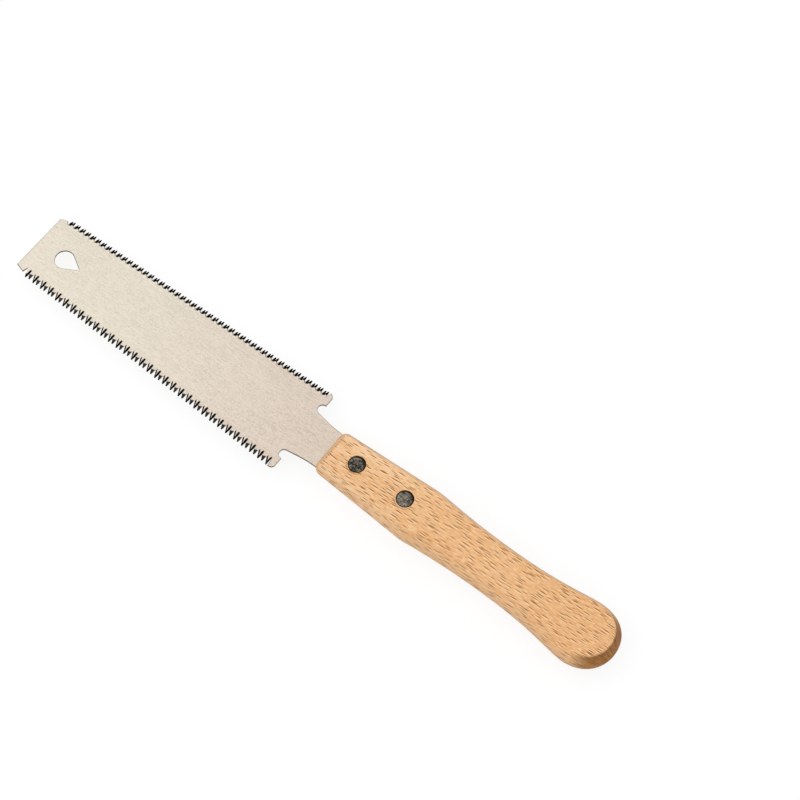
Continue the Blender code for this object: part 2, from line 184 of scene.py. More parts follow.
class GripShape(PropertyGroup):
    """Outline, edges and openings of the handle."""

    front_width: length("Front width", "Width at the blade's end", 0.02275)
    front_corner: length("Front corner", "Radius of the front corners", 0.0036)
    knee_width: length("Knee width", "Width where the grip starts to narrow", 0.0275)
    waist_width: length("Waist width", "Width of the narrowest stretch", 0.02335)
    bulb_width: length("Bulb width", "Width near the butt", 0.0305)
    front_to_knee: length("Front to knee", "Straight taper of the front", 0.0489)
    knee_to_waist: length("Knee to waist", "Narrowing stretch", 0.0437)
    waist_to_bulb: length("Waist to bulb", "Swelling stretch", 0.0439)
    facet_reach: length("Facet reach", "How far the side facets lean out", 0.0034)
    ridge_band: length("Ridge band", "Height of the band rounded into the ridge", 0.0024)
    border_break: length("Border break", "Softened border of the flat faces", 0.00030)
    grip_drift: length("Grip drift", "How far the grip leans towards the fine edge", 0.00026)
    butt_drift: length("Butt drift", "How far the butt leans further", 0.00050)
    bore_gap: length("Bore gap", "Room between a rivet head and its bore", 0.00010)
    bore_flare: length("Bore flare", "Softened rim of a bore", 0.00015)
    ring_reach: length("Ring reach", "Width of the shallow ring round a bore", 0.00030)
    ring_depth: length("Ring depth", "Depth of the shallow ring round a bore", 0.00028)
    ring_shift: length("Ring shift", "How far the ring lies off the bore's middle", 0.00020)
    head_seat: length("Head seat", "Depth of the counterbore", 0.00205)
    shank_bore: length("Shank bore", "Radius of the through bore", 0.0028)
    mouth_width: length("Mouth width", "Width of the slot for the neck", 0.0201)
    mouth_depth: length("Mouth depth", "Length of the slot for the neck", 0.0053)
    slot_width: length("Slot width", "Width of the slot for the tang", 0.0156)
    slot_height: length("Slot height", "Height of the slot", 0.0009)
    slot_depth: length("Slot depth", "Length of the slot from the front", 0.0542)
    curve_steps: count("Curve steps", "Points of each curve of the outline", 26, 4)
    corner_steps: count("Corner steps", "Points of a front corner", 10, 2)
    round_steps: count("Round steps", "Rows of the rounded ridge", 8, 2)


class BeechLook(PropertyGroup):
    """Finish of the handle."""

    wood: colour("Beech", "Plain face of the wood", (0.865, 0.500, 0.240))
    wood_front: colour("Front beech", "Paler wood near the blade", (0.930, 0.622, 0.372))
    wood_pale: colour("Pale beech", "Pale streaks beside the flecks", (1.000, 0.705, 0.415))
    wood_rosy: colour("Rosy beech", "Redder growth of the wood", (0.800, 0.408, 0.166))
    fleck: colour("Flecks", "Short brown flecks along the grain", (0.200, 0.054, 0.005))
    fleck_rim: colour("Round the flecks", "Redder wood round each fleck", (0.640, 0.250, 0.055))
    # Painted shade: greyer, darker ridge facets, more on the +Y side, stand in for light turning
    # away and its grazing reflection
    ridge_shade_tone: colour("Ridge tone", "Greyer wood along the ridge", (0.420, 0.330, 0.265))
    front_grain: colour("Front grain", "Facet at the blade's end", (0.660, 0.390, 0.205))
    # End grain of the butt, painted darker than the front's as painted shade where it faces away
    # from the light; also the painted shadow ring's colour
    end_grain_shaded: colour("End grain", "Scorched butt, where the fibres end", (0.375, 0.152, 0.028))
    end_streak: colour("End streaks", "Darkest streaks of the butt", (0.115, 0.034, 0.004))
    fleck_length: length("Fleck spacing along", "Between flecks along the grain", 0.0078)
    fleck_width: length("Fleck spacing across", "Between flecks across the grain", 0.00078)
    fine_flecks: share("Fine flecks", "Darkness of the finer flecks", 0.50)
    rims: share("Fleck rims", "Strength of the redder wood round the flecks", 0.55)
    pale_fibres: share("Pale fibres", "Strength of the pale fibres", 0.36)
    pale_pores: share("Pale pores", "Strength of the pale pores", 0.60)
    pale_flecks: share("Pale flecks", "Strength of the pale streaks beside the flecks", 0.90)
    dark_fibres: share("Dark fibres", "Strength of the dark fibres", 0.10)
    rosy_butt: share("Rosy butt", "How much redder the wood is near the butt", 0.66)
    shaded_butt_strength: share("Scorch", "Strength of the brown butt", 0.92)
    front_tone: share("Front tone", "Strength of the tone at the blade's end", 0.55)
    roughness: share("Roughness", "Roughness of the sanded face", 0.52)


class RivetLook(PropertyGroup):
    """Shape and finish of the rivets."""

    blackened: colour("Blackened steel", "Dark coat of the heads", (0.020, 0.018, 0.015))
    # Also the colour of the painted highlights on the heads, mixed with the real rubbed spots
    worn: colour("Worn steel", "Bare steel where the coat is rubbed off", (0.370, 0.325, 0.260))
    rubbed: share("Rubbed", "How far the coat is rubbed off all over", 0.21)
    rubbed_rear: share("Rubbed rear", "How much further on the rear rivet", 0.16)
    roughness: share("Roughness", "Roughness of the dark coat", 0.50)
    radius: length("Head radius", "Radius of a head", 0.00395)
    head: length("Head thickness", "Height of a head", 0.0016)
    crown: length("Crown", "Swell of a head", 0.0002)
    rim: length("Rim", "Rounded rim of a head", 0.0003)
    recess: length("Recess", "How far a head lies below the wood", 0.00015)
    shank: length("Shank radius", "Radius of the post", 0.0015)
    tube: length("Tube radius", "Radius of the socket", 0.0025)
    tube_bore: length("Tube bore", "Inner radius of the socket", 0.0018)
    turn_steps: count("Turn steps", "Facets round a rivet", 72, 8)


class StageLook(PropertyGroup):
    """Camera, floor and light."""

    aim: spot("Aim", "Point the camera looks at", (0.0187, 0.0384, 0.0080))
    towards: FloatVectorProperty(name="Towards camera", size=3, subtype="DIRECTION",
                                 description="Direction from the aim to the camera",
                                 default=(0.2518, -0.3255, 0.9114))
    reach: length("Camera distance", "From the aim to the camera", 0.883)
    lens: FloatProperty(name="Lens", description="Focal length in millimetres", default=89.415,
                        min=1.0)
    near_clip: length("Near clip", "Nearest that the camera sees", 0.01)
    far_clip: length("Far clip", "Farthest that the camera sees", 50.0)
    sky: amount("Sky", "Strength of the even light from all round", 0.86)
    key: FloatProperty(name="Key lamp", description="Power of the large soft lamp", default=9.5,
                       min=0.0, unit="POWER")
    key_size: length("Key size", "Side of the lamp", 2.6)
    key_place: spot("Key place", "Where the lamp hangs", (-1.15, -0.75, 1.60))
    floor_reach: length("Floor reach", "From the middle of the floor to its side", 4.0)
    floor_shade: share("Floor shade", "Part of the floor's white that takes shadow", 0.18)
    floor_glow: share("Floor glow", "Part of the floor's white that shines by itself", 0.84)
    floor_bounce: share("Floor bounce", "Light that the floor throws back", 0.80)


# Mean of a noise, and how far the points of cells stray from an even grid
NOISE_MEAN, SCATTER = 0.5, 0.82
# Half the soft seam between two sides
SEAM = 0.1
# Colour sockets of a Mix node
MIX_LOW, MIX_HIGH, MIX_RESULT = 6, 7, 2


class Finish:
    """An output socket of a material, with operators that add Math nodes."""

    def __init__(self, tree, socket=None):
        self.tree = tree
        self.socket = socket

    def node(self, kind, settings=None, inputs=None, output=0):
        """Add a node: its settings first, then the values or links of its sockets."""
        made = self.tree.nodes.new("ShaderNode" + kind)
        for name, value in (settings or {}).items():
            setattr(made, name, value)
        for name, value in (inputs or {}).items():
            if isinstance(value, Finish):
                self.tree.links.new(value.socket, made.inputs[name])
            else:
                made.inputs[name].default_value = value
        return Finish(self.tree, made.outputs[output]) if made.outputs else None

    def maths(self, operation, *values):
        """Math node on values."""
        return self.node("Math", {"operation": operation}, dict(enumerate(values)))

    def __add__(self, other):
        return self.maths("ADD", self, other)

    def __radd__(self, other):
        return self.maths("ADD", other, self)

    def __sub__(self, other):
        return self.maths("SUBTRACT", self, other)

    def __rsub__(self, other):
        return self.maths("SUBTRACT", other, self)

    def __neg__(self):
        return self.maths("SUBTRACT", 0.0, self)

    def __mul__(self, other):
        return self.maths("MULTIPLY", self, other)

    def __rmul__(self, other):
        return self.maths("MULTIPLY", other, self)

    def __truediv__(self, other):
        return self.maths("DIVIDE", self, other)

    def __rtruediv__(self, other):
        return self.maths("DIVIDE", other, self)

    def __abs__(self):
        return self.maths("ABSOLUTE", self)

    def least(self, other):
        """The smaller of two values."""
        return self.maths("MINIMUM", self, other)

    def most(self, other):
        """The larger of two values."""
        return self.maths("MAXIMUM", self, other)

    def limited(self, low, high):
        """The value, or the limit that it passes."""
        return self.most(low).least(high)

    def rise(self, low, high):
        """Smooth step from 0 at low to 1 at high."""
        return self.node("MapRange", {"interpolation_type": "SMOOTHSTEP"},
                         {0: self, 1: low, 2: high})

    def fall(self, low, high):
        """Smooth step from 1 at low to 0 at high."""
        return 1.0 - self.rise(low, high)

    def swing(self, strength):
        """A noise as a swing of this strength about nothing."""
        return (self - NOISE_MEAN) * strength

    def stretched(self, x, y, z):
        """The vector with each axis scaled by itself."""
        return self.node("VectorMath", {"operation": "MULTIPLY"}, {0: self, 1: (x, y, z)})

    def shifted(self, other):
        """The vector moved by another one."""
        return self.node("VectorMath", {"operation": "ADD"}, {0: self, 1: other})

    def axis(self, name):
        """One coordinate of the vector."""
        return self.node("SeparateXYZ", None, {0: self}, name)

    def noise(self, stretch, detail, roughness):
        """Cloudy noise between 0 and 1, with cells of one unit of the stretched vector."""
        return self.node("TexNoise", None, {"Vector": self.stretched(*stretch), "Scale": 1.0,
                                            "Detail": detail, "Roughness": roughness})

    def cells(self, output="Distance"):
        """Points scattered over X and Y, one to a unit: distance to the nearest, or its colour."""
        return self.node("TexVoronoi", {"voronoi_dimensions": "2D"},
                         {"Vector": self, "Scale": 1.0, "Randomness": SCATTER}, output)

    def tint(self, low, high):
        """Colour between two others, by this value."""
        picked = {0: self}
        for socket, value in ((MIX_LOW, low), (MIX_HIGH, high)):
            picked[socket] = value if isinstance(value, Finish) else (*value, 1.0)
        return self.node("Mix", {"data_type": "RGBA"}, picked, MIX_RESULT)

    def relief(self, strength, distance):
        """Bumped normal from this height."""
        return self.node("Bump", None, {"Strength": strength, "Distance": distance,
                                        "Height": self}, "Normal")


def emptied(owner):
    """Start of the emptied node tree of a material or a world."""
    owner.use_nodes = True
    owner.node_tree.nodes.clear()
    return Finish(owner.node_tree)


def new_material(name):
    """An empty material, with its object coordinates in millimetres and its object normal."""
    material = bpy.data.materials.new(name)
    start = emptied(material)
    place = start.node("TexCoord", output="Object")
    facing = start.node("TexCoord", output="Normal")
    return material, place.stretched(MILLIMETRES, MILLIMETRES, MILLIMETRES), facing


def close_material(material, sockets):
    """Principled shader with the given sockets."""
    start = Finish(material.node_tree)
    start.node("OutputMaterial", None, {"Surface": start.node("BsdfPrincipled", None, sockets)})
    return material


# Blade: stretch along X where the steel turns darker and warmer, a painted falloff of light, and
# its satin stronger; and the soft ends of a row of teeth
HANDLE_SHADE_AND_SATIN_RUN, ROW_FADE, ROW_PAST = (-110.0, 12.0), 0.3, 0.1
# Cells of the specks to a millimetre, size of a speck in its cell, and which cells have one
SPECK_GRID, SPECK_EDGE, SPECK_CELLS = (0.55, 0.70, 1.0), (0.06, 0.20), (0.72, 0.98)
# Teeth: they are filed in pairs, and the underside's pairs start half a pair later
TEETH_IN_PAIR, HALF_PAIR = 2, 0.5
# Soft borders below the gullets, along a wide face, of its band, of the tips and of the bevels
GULLET_FADE, WIDE_FADE, BAND_FADE = (0.1, 0.4), (-0.01, 0.01), (-0.28, 0.22)
TIP_FADE, OVAL_FADE, OVAL_POWER = (-0.3, 0.3), (0.6, 1.8), 4.0
# Black second tip of a fine pair, and the thin stroke that slants down from it, a painted shadow
# line along the gullet
SECOND_TIP_WIDE, SECOND_TIP_DEEP, SECOND_TIP_DARK = (0.30, 0.50), (1.6, 2.2), 0.9
TAIL_START, TAIL_WIDE, TAIL_DARK = 1.60, (0.12, 0.34), 0.75
TAIL_TOP, TAIL_END = (1.2, 1.5), (2.5, 2.8)
# Raggedness of the hardened band, and its slant over a coarse pair
RAGGED, SLANT, SLANT_MIDDLE = 0.5, 1.7, 0.70
# Half the plate, and the dark line above the lower edge of a flank
HALF_PLATE, LOW_EDGE_FADE = 0.30, (0.48, 0.62)
# Normals that belong to the flat, face the handle, or face the coarse row
FLAT_LEVEL, HANDLE_WARDS, COARSE_WARDS = (0.90, 0.97), (-0.15, 0.15), (0.0, 0.4)
# Line along the punched edges, and how much stronger it is towards the coarse row
EDGE_LINE, EDGE_LINE_COARSE, BEVEL_SAMPLES = 2.0, 5.0, 8
# Loss of metal on the flanks painted bright as a painted highlight, and what satin, hardening and
# specks add to the roughness
LIT_FLANK_MATTE, ROUGH_SATIN, ROUGH_HARD, ROUGH_SPECKS = 0.9, 0.14, 0.06, 0.12
# Relief: heights of streaks, hairs and specks, then its strength and its depth in metres
STREAK_RISE, HAIR_RISE, SPECK_SINK, STEEL_RELIEF = 0.5, 0.5, 0.6, (0.12, 0.00003)


def satin_flat(place, look):
    """The plate's flat: its colour with painted shade towards the handle, its uneven satin, its
    specks and its lengthwise grain.
    """
    near_handle_shade_and_satin = place.axis("X").rise(*HANDLE_SHADE_AND_SATIN_RUN)
    streak = place.noise((0.30, 1.9, 1.0), detail=2.0, roughness=0.55)
    hair = place.noise((0.07, 4.2, 1.0), detail=2.0, roughness=0.6)
    mottle = place.noise((1.1, 1.9, 1.0), detail=2.0, roughness=0.65)
    cloud = place.noise((0.030, 0.060, 1.0), detail=2.0, roughness=0.5)
    spots = place.stretched(*SPECK_GRID)
    specks = spots.cells().fall(*SPECK_EDGE) * spots.cells("Color").axis("X").rise(*SPECK_CELLS)
    satin = streak.swing(look.streaks) + hair.swing(look.hairs) + mottle.swing(look.mottling)
    satin = satin * (look.satin_toe + look.satin_handle * near_handle_shade_and_satin)
    worn = look.wear + satin + cloud.swing(look.clouding) + specks * look.pitting
    # Painted shade: darker, warmer steel towards the handle stands in for the light falling off
    plain = near_handle_shade_and_satin.tint(look.steel, look.steel_shaded_near_handle)
    flat = worn.limited(0.0, 1.0).tint(plain, look.steel_worn)
    return flat, satin, specks, STREAK_RISE * streak + HAIR_RISE * hair


def tooth_marks(place, facing, look):
    """Where the teeth are, their black strokes with painted shadow, their hardened band and the
    coarse row's low edge line.
    """
    x, y = place.axis("X"), place.axis("Y")
    fine_side = y.rise(-SEAM, SEAM)

    def row(name, unit=MILLIMETRES):
        """The coarse row's own value on its side of the plate, the fine row's on the other."""
        coarse, fine = getattr(look, "coarse_" + name), getattr(look, "fine_" + name)
        return fine_side * (unit * (fine - coarse)) + unit * coarse

    first = (TOE.x + look.toe_land) * MILLIMETRES
    slope = (look.heel_half - look.toe_half) / look.coarse_run
    below_tips = (x - first) * slope + look.toe_half * MILLIMETRES - abs(y)
    start = first - fine_side * (MILLIMETRES * look.fine_lead)
    run = row("run")
    in_run = (x.rise(start - ROW_FADE, start)
              * (x - start).fall(run + ROW_PAST, run + (ROW_PAST + ROW_FADE)))
    toothed = (below_tips - row("depth")).fall(*GULLET_FADE) * in_run

    face_up = facing.axis("Z").rise(-SEAM, SEAM)
    pairs = row("teeth", 1.0 / TEETH_IN_PAIR) / run
    in_pair = place.maths("FRACT", (x - start) * pairs + HALF_PAIR - HALF_PAIR * face_up)
    from_gullet = in_pair / pairs
    wide = (in_pair - row("wide", 1.0)).rise(*WIDE_FADE)

    tip = (1.0 - wide) * (below_tips - row("tip")).fall(*TIP_FADE)
    sideways = (from_gullet - row("stroke")) / row("stroke_wide")
    lengthways = (below_tips - row("stroke_depth")) / row("stroke_half")
    oval = (place.maths("POWER", abs(sideways), OVAL_POWER)
            + place.maths("POWER", abs(lengthways), OVAL_POWER))
    second_at = look.second_tip * MILLIMETRES
    second = abs(from_gullet - second_at).fall(*SECOND_TIP_WIDE) * fine_side
    second = second * below_tips.fall(*SECOND_TIP_DEEP)
    tail_at = (below_tips - TAIL_START + second_at) * pairs
    from_tail = abs(place.maths("FRACT", in_pair - tail_at + HALF_PAIR) - HALF_PAIR) / pairs
    tail_shadow = from_tail.fall(*TAIL_WIDE) * below_tips.rise(*TAIL_TOP) * below_tips.fall(*TAIL_END)
    tail_shadow = tail_shadow * fine_side
    # Painted shadow: the ovals are the dark filed bevels with their shadow, and the tail shadow is
    # a painted shadow line along the gullet
    stroke = oval.fall(*OVAL_FADE).most(tip).most(second * SECOND_TIP_DARK).most(tail_shadow * TAIL_DARK)
    stroke = stroke * in_run

    ragged = below_tips + place.noise((0.9, 0.9, 1.0), detail=2.0, roughness=0.5).swing(RAGGED)
    slant = (in_pair - SLANT_MIDDLE) * SLANT * (1.0 - fine_side)
    hard = (ragged - slant - row("band")).fall(*BAND_FADE) * wide * in_run

    from_middle = place.axis("Z") - PLATE_Z * MILLIMETRES
    from_low_edge = abs(from_middle + 2.0 * HALF_PLATE * face_up - HALF_PLATE)
    # A dark line along the lower edge of each bright flank on the coarse side
    low_edge_line = from_low_edge.fall(*LOW_EDGE_FADE) * (1.0 - fine_side)
    return toothed, stroke, hard, low_edge_line


def blade_material(look):
    """Satin steel with specks, dark hardened tips, filed flanks and punched edges."""
    material, place, facing = new_material("saw_steel")
    flat, satin, specks, grain = satin_flat(place, look)
    toothed, stroke, hard, low_edge_line = tooth_marks(place, facing, look)
    faces = stroke.tint(hard.tint(flat, look.hardened), look.flank)

    flatness = abs(facing.axis("Z")).rise(*FLAT_LEVEL)
    # Painted light on the tooth flanks: those facing the toe get the bright flank as painted
    # highlight, those facing the handle black as painted shade
    toe_facing_lit = toothed * facing.axis("X").fall(*HANDLE_WARDS) * (1.0 - flatness)
    lit_toe_flank = stroke.tint(low_edge_line.tint(look.lit_flank, look.low_edge_line), look.flank)
    walls = toe_facing_lit.tint(toothed.tint(look.cut_edge, look.flank), lit_toe_flank)

    rounded = place.node("Bevel", {"samples": BEVEL_SAMPLES}, {"Radius": look.edge_line})
    kept = place.node("VectorMath", {"operation": "DOT_PRODUCT"}, {0: rounded, 1: facing}, "Value")
    coarse_wards = (-rounded.axis("Y")).rise(*COARSE_WARDS)
    line = ((1.0 - kept) * (EDGE_LINE + EDGE_LINE_COARSE * coarse_wards)).least(1.0)
    faces = (line * (1.0 - toothed)).tint(faces, look.cut_edge)

    return close_material(material, {
        "Base Color": flatness.tint(walls, faces),
        "Metallic": 1.0 - toe_facing_lit * LIT_FLANK_MATTE,
        "Roughness": (look.roughness + satin * ROUGH_SATIN + hard * ROUGH_HARD
                      + specks * ROUGH_SPECKS),
        "Normal": (grain - SPECK_SINK * specks).relief(*STEEL_RELIEF),
    })


# Grain: where it turns down a facet and how far that unrolls it, its slant, wander and offset,
# its change with depth, and how far along the lower half's own grain starts
FACET_TURN, FACET_UNROLL, LOWER_START = 0.17, 0.66, 43.0
GRAIN_SLANT, GRAIN_WANDER, GRAIN_OFFSET, GRAIN_DEPTH = 0.040, 3.0, 4.5, 0.25
# Flecks: sizes in their cells, bold, fine, the wood round them and the pale streaks beside them
BOLD_SIZES, FINE_SIZES = (0.17, 0.26), (0.11, 0.21)
RIM_SIZES, PALE_SIZES = (0.27, 0.36), (0.18, 0.30)
FINE_SCALE, FINE_START, PALE_START = 0.74, (31.7, 12.3, 0.0), (0.0, 0.46, 0.0)
# Which cells have a fleck, its soft border in sizes, and the faintest one with its range
FLECK_CELLS, FLECK_CORE, FLECK_EDGE = (0.20, 0.34), 0.74, 0.98
FLECK_FAINT, FLECK_RANGE = 0.70, 0.30
# Levels of fibres, pores and growth, and along X where the front ends and the butt starts
PALE_FIBRE, DARK_FIBRE, PALE_PORE = (0.44, 0.66), (0.28, 0.50), (0.46, 0.68)
PLAIN_GROWTH, FRONT_RUN, BUTT_RUN = (0.28, 0.72), (20.0, 62.0), (90.0, 150.0)
# Round the rivets, on the side of the coarse edge: a brown ring, the painted shadow of the bore's
# wall, and at the rear one a pale crescent
BEHIND_RIVET = (1.2, 3.4)
WALL_SHADOW_RADIUS, WALL_SHADOW_FADE, WALL_SHADOW_DARK = 4.70, (0.10, 0.40), 0.65
PALE_CRESCENT_RADIUS, PALE_CRESCENT_FADE, PALE_CRESCENT_STRENGTH = 4.25, (0.12, 0.32), 0.8
# Facets: lean that makes one, reach of the ridge's painted shade, its strength, and more of it at
# +Y
FACET_LEAN, RIDGE_FADE = (0.30, 0.75), (0.5, 6.5)
RIDGE_SHADE, RIDGE_SHADE_FAR, FINE_WARDS = 0.30, 0.25, (0.0, 0.4)
# Ends: lean, direction and depth of the butt, direction of the front, least lean to divide by
BUTT_LEAN, BUTT_WARDS, BUTT_DEPTH = (0.15, 0.55), (0.0, 0.72), (0.0, 1.6)
FRONT_WARDS, LEAST_LEAN = (0.45, 0.90), 0.001
# Shaded butt: level and strength of its streaks and flecks, darker by the face, greyer at the ridge
# with the painted ridge shade
STREAK_LEVEL, STREAK_DARK, BUTT_FLECKS = (0.44, 0.60), 0.50, 0.85
BY_FACE, BY_FACE_DARK, BY_RIDGE, BY_RIDGE_SHADE = (1.0, 5.0), 0.35, (5.5, 8.0), 0.16
# Gloss, what flecks and fibres add to the roughness, and the relief as on the blade
WOOD_GLOSS, ROUGH_FLECKS, ROUGH_FIBRES = 0.15, 0.10, 0.12
FIBRE_RISE, PORE_RISE, FLECK_SINK, WOOD_RELIEF = 0.35, 0.25, 0.2, (0.16, 0.00012)


def lens_flecks(plan, long, wide, smallest, largest):
    """Lens-shaped flecks along X in some cells of the plan, each of its own size and darkness."""
    cell = plan.stretched(1.0 / long, 1.0 / wide, 0.0)
    kind = cell.cells("Color")
    size = kind.axis("X") * (largest - smallest) + smallest
    dark = kind.axis("Z").rise(*FLECK_CELLS) * (FLECK_FAINT + FLECK_RANGE * kind.axis("Y"))
    return cell.cells().fall(size * FLECK_CORE, size * FLECK_EDGE) * dark


def about_rivets(place):
    """The nearer rivet, 0 front or 1 rear, and the way from its middle: X, Y and distance."""
    front, rear = (MILLIMETRES * centre.x for centre in RIVET_PLACES)
    middle = 0.5 * (front + rear)
    second = place.axis("X").rise(middle - SEAM, middle + SEAM)
    along = place.axis("X") - front - second * (rear - front)
    across = place.axis("Y") - MILLIMETRES * RIVET_PLACES[0].y
    return second, along, across, place.maths("SQRT", along * along + across * across)


def grain_plan(place, from_face):
    """The place along and across the grain, unrolled over the facets."""
    x, y, z = (place.axis(name) for name in "XYZ")
    ridge_z = MILLIMETRES * PLATE_Z
    wander = place.noise((0.016, 0.035, 0.035), detail=1.0, roughness=0.5)
    side = (y * FACET_TURN).limited(-1.0, 1.0)
    across = y + side * from_face * FACET_UNROLL - x * GRAIN_SLANT
    across = across + wander.swing(GRAIN_WANDER) + GRAIN_OFFSET
    lower_half = z.fall(ridge_z - SEAM, ridge_z + SEAM)
    return place.node("CombineXYZ", None, {"X": x + lower_half * LOWER_START, "Y": across,
                                           "Z": z * GRAIN_DEPTH})


def beech_face(place, plan, look):
    """Sanded wood: its colour, its flecks, its fibres and its pores."""
    long, wide = look.fleck_length * MILLIMETRES, look.fleck_width * MILLIMETRES
    bold = lens_flecks(plan, long, wide, *BOLD_SIZES)
    fine = lens_flecks(plan.shifted(FINE_START), FINE_SCALE * long, FINE_SCALE * wide, *FINE_SIZES)
    flecks = bold.most(fine * look.fine_flecks)
    around = lens_flecks(plan, long, wide, *RIM_SIZES)
    beside = lens_flecks(plan.shifted(PALE_START), long, wide, *PALE_SIZES)
    fibre = plan.noise((0.17, 2.3, 1.0), detail=2.0, roughness=0.6)
    pores = plan.noise((0.45, 4.0, 1.0), detail=1.0, roughness=0.5)
    growth = plan.noise((0.020, 0.16, 1.0), detail=2.0, roughness=0.5)

    x = place.axis("X")
    front_wood = x.rise(*FRONT_RUN).tint(look.wood_front, look.wood)
    plain = (growth.rise(*PLAIN_GROWTH) - x.rise(*BUTT_RUN) * look.rosy_butt).most(0.0)
    face = plain.tint(look.wood_rosy, front_wood)
    pale = (fibre.rise(*PALE_FIBRE) * look.pale_fibres + pores.rise(*PALE_PORE) * look.pale_pores
            + beside * look.pale_flecks)
    face = pale.least(1.0).tint(face, look.wood_pale)
    face = (around * look.rims).tint(face, look.fleck_rim)
    dark = fibre.fall(*DARK_FIBRE) * look.dark_fibres + flecks
    return dark.least(1.0).tint(face, look.fleck), flecks, fibre, pores


def beech_material(look):
    """Sanded beech with painted shadow and a pale crescent by the rivets, painted shade on ridge
    and butt.
    """
    material, place, facing = new_material("saw_beech")
    from_ridge = abs(place.axis("Z") - MILLIMETRES * PLATE_Z)
    from_face = MILLIMETRES * PLATE_Z - from_ridge
    plan = grain_plan(place, from_face)
    face, flecks, fibre, pores = beech_face(place, plan, look)

    rear, _, from_y, from_rivet = about_rivets(place)
    behind = (-from_y).rise(*BEHIND_RIVET)
    # Painted shadow: a brown ring just outside each bore's shallow ring on the coarse side, and at
    # the rear rivet a pale crescent inside it
    wall_shadow_ring = abs(from_rivet - WALL_SHADOW_RADIUS).fall(*WALL_SHADOW_FADE) * behind
    pale_crescent = abs(from_rivet - PALE_CRESCENT_RADIUS).fall(*PALE_CRESCENT_FADE) * behind * rear
    face = (wall_shadow_ring * WALL_SHADOW_DARK).tint(face, look.end_grain_shaded)
    face = (pale_crescent * PALE_CRESCENT_STRENGTH).tint(face, look.wood_pale)

    level = facing.axis("Z")
    lean = 1.0 - level * level
    facet = lean.rise(*FACET_LEAN)
    # Painted shade: the ridge's facets are greyed with the ridge shade tone, more where they face
    # +Y
    ridge = facet * from_ridge.fall(*RIDGE_FADE)
    tone = RIDGE_SHADE + RIDGE_SHADE_FAR * facing.axis("Y").rise(*FINE_WARDS)
    face = (ridge * tone).tint(face, look.ridge_shade_tone)

    endwise = facing.axis("X") / place.maths("SQRT", lean + LEAST_LEAN)
    front = facet * (-endwise).rise(*FRONT_WARDS)
    # Painted shade: the butt's end grain, facing away from the light, is painted much darker than
    # the front's end grain
    butt = lean.rise(*BUTT_LEAN) * endwise.rise(*BUTT_WARDS) * from_face.rise(*BUTT_DEPTH)
    streaks = plan.noise((0.16, 1.1, 1.0), detail=2.0, roughness=0.6).rise(*STREAK_LEVEL)
    shaded_butt = (streaks * STREAK_DARK + flecks * BUTT_FLECKS).least(1.0)
    shaded_butt = shaded_butt.tint(look.end_grain_shaded, look.end_streak)
    shaded_butt = (from_face.fall(*BY_FACE) * BY_FACE_DARK).tint(shaded_butt, look.end_streak)
    shaded_butt = (from_face.rise(*BY_RIDGE) * BY_RIDGE_SHADE).tint(shaded_butt, look.ridge_shade_tone)
    face = (front * look.front_tone).tint(face, look.front_grain)

    height = fibre * FIBRE_RISE + pores * PORE_RISE - flecks * FLECK_SINK
    return close_material(material, {
        "Base Color": (butt * look.shaded_butt_strength).tint(face, shaded_butt),
        "Roughness": look.roughness + flecks * ROUGH_FLECKS + fibre.swing(ROUGH_FIBRES),
        "Specular IOR Level": WOOD_GLOSS,
        "Normal": height.relief(*WOOD_RELIEF),
    })


# Heads: direction of their side in painted shade, its strength, and that of the front one's near
# side, also painted shade
DARK_SIDE, DARK_SIDE_SHADE, NEAR_SHADE = (0.46, 0.89), 0.30, 0.18
# Black rim in millimetres from the middle, wider on the side of painted shade, and normals of the
# crown
RIM_FADE, RIM_WIDER, CROWN_LEVEL = (3.3, 3.9), 0.7, (0.35, 0.85)
# Rubbed rings: radians to a millimetre, bend by the mottle, levels, strength, its fall along X that
# brightens them towards the toe as painted highlight
RING_PHASE, RING_BEND, RING_LEVEL, RING_PATCHES = 4.6, 3.0, (0.45, 0.95), (0.38, 0.62)
RING_BRIGHT, RING_FALL, RING_REAR_LOSS = 0.30, 0.06, 0.6
# Blotches about the mottle's own mean, and finer grit
BLOTCH_MEAN, BLOTCHES, GRIT = 0.48, 1.9, 1.7
# What rubbing takes from the roughness and grit adds to it, and the relief as on the blade
ROUGH_LOSS, ROUGH_GRIT = 0.14, 0.12
BLOTCH_RISE, GRIT_RISE, RIVET_RELIEF = 0.6, 0.4, (0.30, 0.00012)


